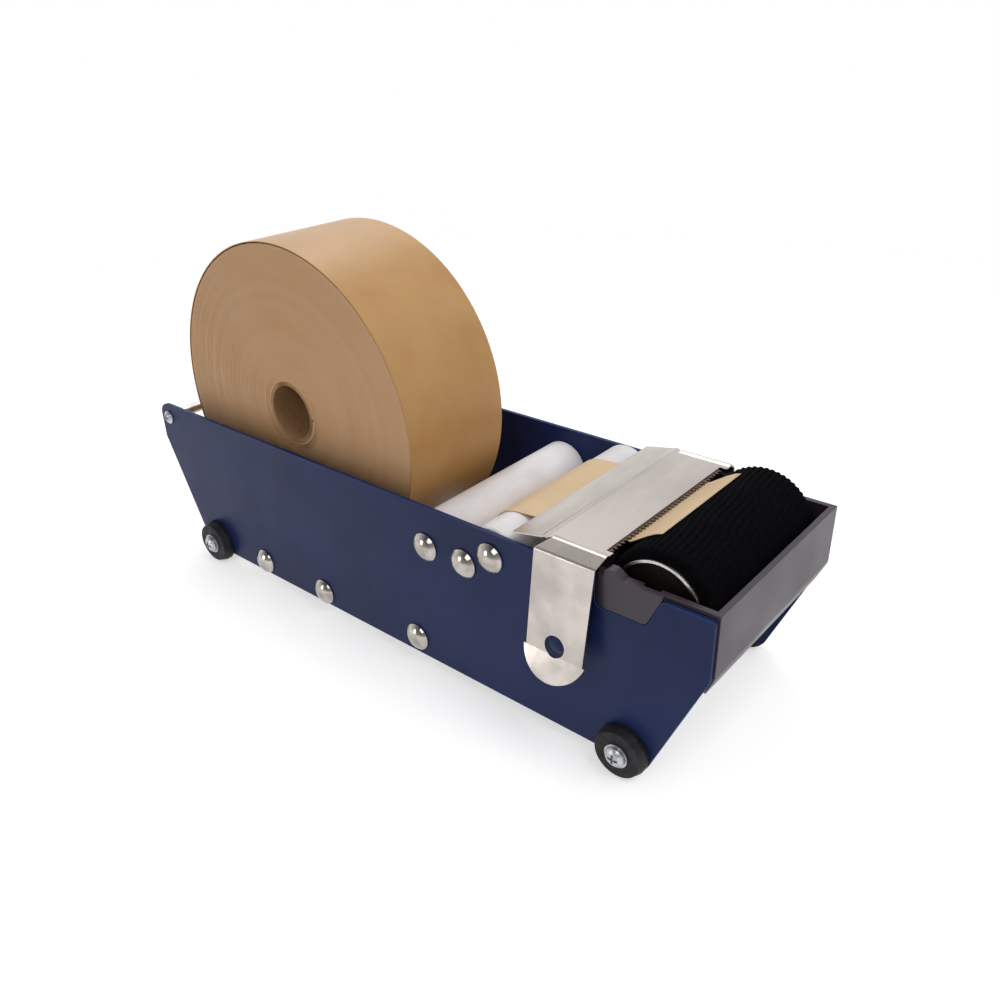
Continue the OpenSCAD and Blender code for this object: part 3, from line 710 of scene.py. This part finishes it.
@dataclass
class Rollers(Assembly):
    """Axles, their push-on caps, and the rollers that run on them."""

    def build(self) -> Sequence[str]:
        """Dress the axles, caps and rollers, and name them."""
        upper = ("retaining_roller", "upper_guide_roller")
        return [
            *self.wear(DRAWN_STEEL, "cradle_axle_rear", "cradle_axle_front", "lower_guide_axle",
                       "retaining_axle", "pinch_rod", "upper_guide_axle"),
            *self.wear(NICKEL, "push_on_caps_right", "push_on_caps_left"),
            *self.wear(ZINC, "cradle_roller_rear", "cradle_roller_front", "lower_guide_roller"),
            *self.wear(ACETAL, *upper, *(f"{roller}_bushes" for roller in upper)),
        ]


@dataclass
class TapeRoll(Assembly):
    """The wound roll, its loose outer turn, its core and the drawn-off tape."""

    # A winding is about 0.15 mm thick; the turns are drawn this far apart so that they show
    pitch: float = 1.2 * MM
    steps: int = 72
    # How unevenly the turns' edges lie, and the grooves between them
    uneven: float = 0.14 * MM
    groove: float = 0.08 * MM
    # Turns that lie loose by the core, and how deep the gaps between them are
    loose_turns: float = 4.0
    gap_depth: float = 3.0 * MM
    # How late they tighten outwards, and how much more they open below the core
    tighten: float = 0.3
    hang: float = 1.5
    # Share of a turn that its groove takes, and what a loose turn's gap adds
    groove_share: float = 0.12
    gap_share: float = 0.42
    # The edges wander in and out at these rates by turn
    wander: tuple[float, ...] = (2.1, 5.3, 13.7)
    # The outer turn: its thickness, the angle that it covers and how far it rises from
    # the winding, and its least clearance there
    turn_t: float = 0.45 * MM
    turn_angle: float = math.radians(350)
    turn_rise: float = 0.875 * MM
    turn_fit: float = 0.1 * MM
    turn_steps: int = 240
    # Corners over this angle stay sharp in the shading
    crease: float = math.radians(40)

    def __post_init__(self) -> None:
        """Take the roll's place and sizes from its solids."""
        low, high = (Vector(corner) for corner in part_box("tape_roll"))
        self.centre = (low + high) / 2
        self.winding_r = (high.x - low.x) / 2
        self.half = (high.y - low.y) / 2
        low, high = (Vector(corner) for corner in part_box("roll_core"))
        self.core_r = (high.x - low.x) / 2
        low, high = (Vector(corner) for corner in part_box("cradle_roller_front"))
        down = (low + high) / 2 - self.centre
        # The tape leaves the roll above the front cradle roller
        self.leaves = math.atan2(down.z, down.x)

    def point(self, r: float, angle: float, y: float) -> Vector:
        """Place a point by its distance and angle from the roll's axis."""
        return self.centre + Vector((r * math.cos(angle), y, r * math.sin(angle)))

    def edge(self, turn: float) -> list[Pair]:
        """Draw the tape's edge where it has gone round this many turns.

        Args:
            turn: Turns from the core.

        Returns:
            Top of the edge and the groove beside it, as distance from the axis and height.
        """
        wander = sum(math.sin(turn * rate + rate) for rate in self.wander) / len(self.wander)
        top = self.half - self.uneven * (wander + 1) / 2
        # The loose turns hang, so their gaps open below the core
        below = (1 - math.sin(2 * math.pi * turn)) / 2
        loose = max(0.0, 1 - turn / self.loose_turns) ** self.tighten * below ** self.hang
        inner = self.core_r + self.pitch * max(turn - 1, 0.0)
        outer = self.core_r + self.pitch * turn
        side = outer - self.pitch * (self.groove_share + self.gap_share * loose)
        floor = top - self.groove - self.gap_depth * loose
        return [(inner, top), (side, top), (side, floor), (outer, floor)]

    def windings(self) -> bpy.types.Object:
        """Wind the roll as one unbroken spiral of tape.

        Returns:
            The wound tape, without its outer turn.
        """
        turns = int((self.winding_r - self.core_r) / self.pitch)
        n, last = self.steps, self.steps * turns
        points, faces = [], []
        for sign in (1, -1):
            base = len(points)
            for m in range(n, last + 1):
                rows = self.edge(m / n)
                if m < 2 * n:
                    rows[0] = (self.core_r, rows[0][1])
                if m >= last - n:
                    shift = self.winding_r - rows[-1][0]
                    rows[1:] = [(r + shift, y) for r, y in rows[1:]]
                points += [self.point(r, 2 * math.pi * m / n, sign * y) for r, y in rows]
            for m in range(last - n):
                a, b = base + CORNERS * m, base + CORNERS * (m + 1)
                strips = [(a + k, a + k + 1, b + k + 1, b + k) for k in range(CORNERS - 1)]
                if m < last - 2 * n:
                    c, d = a + CORNERS * n, b + CORNERS * n
                    strips.append((a + 3, c, d, b + 3))
                faces += strips if sign < 0 else [face[::-1] for face in strips]
        # The round face under the outer turn joins the two sides
        side = len(points) // 2
        first = side - CORNERS * n - 1
        faces += [(q, q + CORNERS, q + side + CORNERS, q + side)
                  for q in range(first, side - 1, CORNERS)]
        return self.piece("wound_tape", points, faces, False)

    def outer_turn(self) -> bpy.types.Object:
        """Lay the loose outer turn round the windings.

        Returns:
            The outer turn.
        """
        points, faces = [], []
        for i in range(self.turn_steps + 1):
            share = i / self.turn_steps
            angle = self.leaves - self.turn_angle * share
            inner = self.winding_r + self.turn_fit + self.turn_rise * (1 - share)
            points += [self.point(r, angle, y) for r, y in (
                (inner, -self.half), (inner + self.turn_t, -self.half),
                (inner + self.turn_t, self.half), (inner, self.half))]
        for i in range(self.turn_steps):
            a, b = CORNERS * i, CORNERS * (i + 1)
            faces += [(a + k, b + k, b + (k + 1) % CORNERS, a + (k + 1) % CORNERS)
                      for k in range(CORNERS)]
        # The two cut ends
        faces += [(0, 1, 2, 3), tuple(CORNERS * self.turn_steps + k for k in (3, 2, 1, 0))]
        return self.piece("outer_turn_paper", points, faces, True)

    def piece(self, name: str, points: Sequence[Vector], faces: Sequence[Sequence[int]],
              curved: bool) -> bpy.types.Object:
        """Make a piece of the roll that turns with it.

        Args:
            name: Its name.
            points: Its points.
            faces: Its faces.
            curved: Whether it is shaded as a curved sheet with sharp edges.

        Returns:
            The piece.
        """
        mesh = bpy.data.meshes.new(name)
        mesh.from_pydata(points, [], faces)
        mesh.validate()
        if curved:
            mesh.shade_smooth()
            mesh.set_sharp_from_angle(angle=self.crease)
        piece = bpy.data.objects.new(name, mesh)
        bpy.context.scene.collection.objects.link(piece)
        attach(piece, "roll")
        return piece

    def build(self) -> Sequence[str]:
        """Wind the roll and dress it and the tape, and name them."""
        wound, turn = self.windings(), self.outer_turn()
        edge = WoundPaperEdge(centre=tuple(self.centre))
        for piece, finish, node, slot in (
                (wound, edge, "tape_roll", "tape_wound"),
                (turn, GUMMED_PAPER, "tape_outer_turn", "tape_kraft")):
            piece.data.materials.append(material_of(finish))
            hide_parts(node)
        return [wound.name, turn.name, *self.wear(BOARD, "roll_core"),
                *self.wear(PLAIN_PAPER, "tape_strip")]


@dataclass
class WaterTank(Assembly):
    """The moulded tank with its ears."""

    def build(self) -> Sequence[str]:
        """Dress the tank, and name it."""
        return self.wear(TANK_PLASTIC, "water_tank")


@dataclass
class CutterCover(Assembly):
    """The bent stainless cover with its legs and toothed blade."""

    def build(self) -> Sequence[str]:
        """Dress the cover and the blade, and name them."""
        return [*self.wear(STAINLESS, "cutter_cover"), *self.wear(TEMPERED_STEEL_PAINTED_REFLECTION, "cutter_blade")]


@dataclass
class WettingDrum(Assembly):
    """The drum on its axle, with a ribbed knitted sleeve pulled over it."""

    # Ribs round the sleeve, counted where it shows
    ribs: int = 51
    # Depth of the valleys between the ribs, in metres
    rib_depth: float = 0.65 * MM
    # Power that makes the valleys narrow between the rounder ribs
    narrow: int = 3
    # The ribs lie twisted on the drum by this angle
    twist: float = math.radians(8.0)
    # The cloth is pulled a little out of line: how far, and over what length
    waver: float = 0.5 * MM
    waver_length: float = 38 * MM
    # Radius of the sleeve's rounded ends, in metres
    end_r: float = 3.4 * MM
    points_per_rib: int = 10
    rows: int = 72
    end_rows: int = 8
    tube_gap: float = 0.1 * MM
    # Points on each rib where its girth is measured
    girth_points: int = 40

    def __post_init__(self) -> None:
        """Take the sleeve's place and size from its solid."""
        low, high = (Vector(corner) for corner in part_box("knit_sleeve"))
        self.centre = (low + high) / 2
        self.outer_r = (high.x - low.x) / 2
        self.half_length = (high.y - low.y) / 2
        tube_low, tube_high = (Vector(corner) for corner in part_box("drum_tube"))
        self.tube_d = tube_high.x - tube_low.x

    def section(self) -> list[Pair]:
        """Draw half of the sleeve's outline from one end of the tube to the other.

        Returns:
            Points as distance from the axis and place along it.
        """
        inner = self.tube_d / 2 + self.tube_gap
        flat = self.half_length - self.end_r
        turn = [(self.outer_r - self.end_r * (1 - math.cos(a)), flat + self.end_r * math.sin(a))
                for a in (math.pi / 2 * i / self.end_rows for i in range(self.end_rows + 1))]
        right = [*turn, (inner, self.half_length)]
        body = [(self.outer_r, -flat + 2 * flat * i / self.rows) for i in range(1, self.rows)]
        return [*((r, -y) for r, y in reversed(right)), *body, *right]

    def rib_at(self, angle: float, along: float) -> float:
        """Give the sleeve's depth below its ribs.

        Args:
            angle: Angle round the drum.
            along: Place along the drum.

        Returns:
            The depth, from 0 to 1.
        """
        drift = along * math.tan(self.twist)
        drift += self.waver * math.sin(2 * math.pi * along / self.waver_length + 2 * angle)
        phase = self.ribs * (angle - drift / self.outer_r)
        return abs(math.sin(phase / 2)) ** self.narrow

    def sleeve(self) -> bpy.types.Object:
        """Knit the sleeve as one open sheet.

        Returns:
            The sleeve.
        """
        section = self.section()
        around = self.ribs * self.points_per_rib
        inner = section[0][0]
        points = []
        for r, y in section:
            # The ribs flatten where the ends turn in to the tube
            share = (r - inner) / (self.outer_r - inner)
            for i in range(around):
                angle = 2 * math.pi * i / around
                ridge = r - self.rib_depth * share * self.rib_at(angle, y)
                spot = Vector((ridge * math.cos(angle), y, ridge * math.sin(angle)))
                points.append(self.centre + spot)
        faces = [(row * around + i, row * around + (i + 1) % around,
                  (row + 1) * around + (i + 1) % around, (row + 1) * around + i)
                 for row in range(len(section) - 1) for i in range(around)]
        mesh = bpy.data.meshes.new("ribbed_sleeve")
        mesh.from_pydata(points, [], faces)
        # The cloth's own millimetres, for the loops of the knit
        cloth = mesh.uv_layers.new(name="cloth_mm")
        corners = ((0, 0), (0, 1), (1, 1), (1, 0))
        for polygon in mesh.polygons:
            polygon.use_smooth = True
            row, column = divmod(polygon.index, around)
            for loop, (down, right) in zip(polygon.loop_indices, corners):
                turn = 2 * math.pi * (column + right) / around
                cloth.data[loop].uv = (turn * self.outer_r / MM, section[row + down][1] / MM)
        sleeve = bpy.data.objects.new("ribbed_sleeve", mesh)
        bpy.context.scene.collection.objects.link(sleeve)
        sleeve.data.materials.append(material_of(KNIT))
        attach(sleeve, "wet_drum")
        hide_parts("knit_sleeve")
        self.cut(section)
        return sleeve

    def cut(self, section: Sequence[Pair]) -> Pair:
        """Size of the cloth before it is pulled on.

        Args:
            section: The sleeve's outline.

        Returns:
            Girth along the ribs and length over the rounded ends, in metres.
        """
        steps = self.girth_points * self.ribs
        ring = [(self.outer_r - self.rib_depth * self.rib_at(a, 0.0), a)
                for a in (2 * math.pi * i / steps for i in range(steps + 1))]
        girth = sum(math.hypot(q[0] - p[0], (q[1] - p[1]) * self.outer_r)
                    for p, q in zip(ring, ring[1:]))
        return girth, sum(math.dist(p, q) for p, q in zip(section, section[1:]))

    def build(self) -> Sequence[str]:
        """Dress the drum and pull the sleeve over it, and name them."""
        return [
            *self.wear(DRAWN_STEEL, "drum_axle", "drum_tube"),
            *self.wear(DISC_PLASTIC, "drum_end_discs"),
            self.sleeve().name,
        ]


@dataclass
class Lamp:
    """A soft lamp that shines at the machine."""

    name: str
    place: Triple
    size: float
    watts: float

    def build(self, target: Vector) -> None:
        """Hang the lamp and point it.

        Args:
            target: Point that it faces.
        """
        light = bpy.data.lights.new(self.name, "AREA")
        light.energy, light.size, light.shape = self.watts, self.size, "DISK"
        lamp = bpy.data.objects.new(self.name, light)
        lamp.location = self.place
        lamp.rotation_euler = (target - Vector(self.place)).to_track_quat("-Z", "Y").to_euler()
        bpy.context.scene.collection.objects.link(lamp)


@dataclass
class Studio:
    """Camera, pale floor and soft light round the machine."""

    # Camera fitted to the photograph: its place in metres, and its own right and down
    eye: Triple = (0.31473, -0.32995, 0.30633)
    ahead: Triple = (-0.57279, 0.67107, -0.47071)
    down: Triple = (0.28477, -0.37557, -0.88196)
    lens: float = 33.297
    sensor: float = 36.0
    floor_r: float = 2.5
    floor_steps: int = 96
    # Where the floor fades out, as shares of its radius
    floor_fade: Pair = (0.13, 0.4)
    # The floor's own shade of white, and what the camera sees on top of it
    floor_shade: str = "#F4F4F4"
    floor_lift: float = 0.5
    world_shade: str = "#FFFFFF"
    # Light from the room at the horizon and overhead
    ambient: Pair = (0.14, 0.3)
    ambient_span: Pair = (0.0, 0.8)
    # Middle of the room's unlit side, which bright metal shows, and how dim it is
    unlit_side: Triple = (0.1, -0.72, 0.69)
    unlit: float = 0.12
    unlit_span: Pair = (0.3, 0.95)
    lamps: Sequence[Lamp] = field(default_factory=lambda: (
        Lamp("key_lamp", (0.7, 0.1, 1.0), 0.9, 5.0),
        Lamp("top_lamp", (-0.6, 0.35, 1.15), 0.9, 5.0),
        Lamp("side_lamp", (0.35, -1.2, 0.8), 0.7, 2.8),
        Lamp("low_lamp", (-0.6, -1.1, 0.2), 0.4, 1.2),
    ))

    def camera(self) -> None:
        """Set up the camera at the photograph's viewpoint."""
        ahead, down = (Vector(v).normalized() for v in (self.ahead, self.down))
        right = down.cross(ahead).normalized()
        turn = Matrix((right, -down, -ahead)).transposed()
        data = bpy.data.cameras.new("camera")
        data.lens, data.sensor_width = self.lens, self.sensor
        camera = bpy.data.objects.new("camera", data)
        camera.matrix_world = Matrix.Translation(self.eye) @ turn.to_4x4()
        bpy.context.scene.collection.objects.link(camera)
        bpy.context.scene.camera = camera

    @staticmethod
    def direct(tree: NodeTree) -> Socket:
        """Tell which rays show the background itself.

        Args:
            tree: The tree to add it to.

        Returns:
            1 for what the camera, metal and glass see, and 0 for light on the machine.
        """
        rays = tree.add("LightPath").outputs
        seen = tree.add("Math", {0: rays["Is Camera Ray"], 1: rays["Is Glossy Ray"]},
                        operation="MAXIMUM")
        return tree.add("Math", {0: seen.outputs[0], 1: rays["Is Transmission Ray"]},
                        operation="MAXIMUM").outputs[0]

    def floor(self) -> None:
        """Lay a pale floor that keeps the shadow and fades into the white background."""
        steps = range(self.floor_steps)
        rim = [(self.floor_r * math.cos(a), self.floor_r * math.sin(a), 0.0)
               for a in (2 * math.pi * i / self.floor_steps for i in steps)]
        mesh = bpy.data.meshes.new("floor")
        mesh.from_pydata(rim, [], [steps])
        floor = bpy.data.objects.new("floor", mesh)
        bpy.context.scene.collection.objects.link(floor)
        recipe = Recipe("floor_paper_white")
        lift = recipe.add("Math", {0: self.direct(recipe), 1: self.floor_lift},
                          operation="MULTIPLY").outputs[0]
        recipe.fill(recipe.shader, {
            "Base Color": linear(self.floor_shade),
            "Roughness": 1.0,
            "Specular IOR Level": 0.0,
            "Emission Color": linear(self.world_shade),
            "Emission Strength": lift,
        })
        away = recipe.add("VectorMath", {0: recipe.place()}, operation="LENGTH").outputs["Value"]
        start, end = (share * self.floor_r / MM for share in self.floor_fade)
        fade = recipe.spread(away, 0.0, 1.0, (start, end))
        both = recipe.add("MixShader", {
            0: fade, 1: recipe.shader.outputs[0], 2: recipe.add("BsdfTransparent").outputs[0],
        })
        recipe.links.new(both.outputs[0], recipe.nodes["Material Output"].inputs["Surface"])
        mesh.materials.append(recipe.material)

    def world(self) -> None:
        """Light the room evenly, and show it white behind the machine."""
        world = bpy.data.worlds.new("studio")
        bpy.context.scene.world = world
        room = NodeTree(world)
        ahead = room.add("TexCoord").outputs["Generated"]
        light = room.spread(room.add("SeparateXYZ", {0: ahead}).outputs["Z"],
                            *self.ambient, self.ambient_span)
        side = room.add("VectorMath", {0: ahead, 1: self.unlit_side},
                        operation="DOT_PRODUCT").outputs["Value"]
        glossy = room.add("LightPath").outputs["Is Glossy Ray"]
        dim = room.spread(side, 1.0, self.unlit, self.unlit_span)
        white = room.add("Mix", {room.SHARE: glossy, room.LOW: 1.0, room.HIGH: dim}).outputs[0]
        seen = room.add("Mix", {
            room.SHARE: self.direct(room), room.LOW: light, room.HIGH: white,
        }).outputs[0]
        room.fill(room.nodes["Background"], {"Color": linear(self.world_shade), "Strength": seen})

    def build(self) -> None:
        """Set up the camera, the floor, the room and the lamps."""
        self.camera()
        self.floor()
        self.world()
        middle = (Vector(CAD_BOX[0]) + Vector(CAD_BOX[1])) / 2
        for lamp in self.lamps:
            lamp.build(middle)
        bpy.context.scene.view_settings.view_transform = "Standard"


def main() -> None:
    """Build the sub-assemblies and the studio, in order."""
    logging.basicConfig(level=logging.INFO, format="%(name)s: %(message)s")
    assemblies: Sequence[Assembly] = (
        SideFrame(), Feet(), Rollers(), TapeRoll(), WaterTank(), WettingDrum(), CutterCover(),
    )
    for assembly in assemblies:
        for piece in assembly.build():
            log.info("%s: %s", type(assembly).__name__, piece)
    Studio().build()


if __name__ == "__main__":
    main()
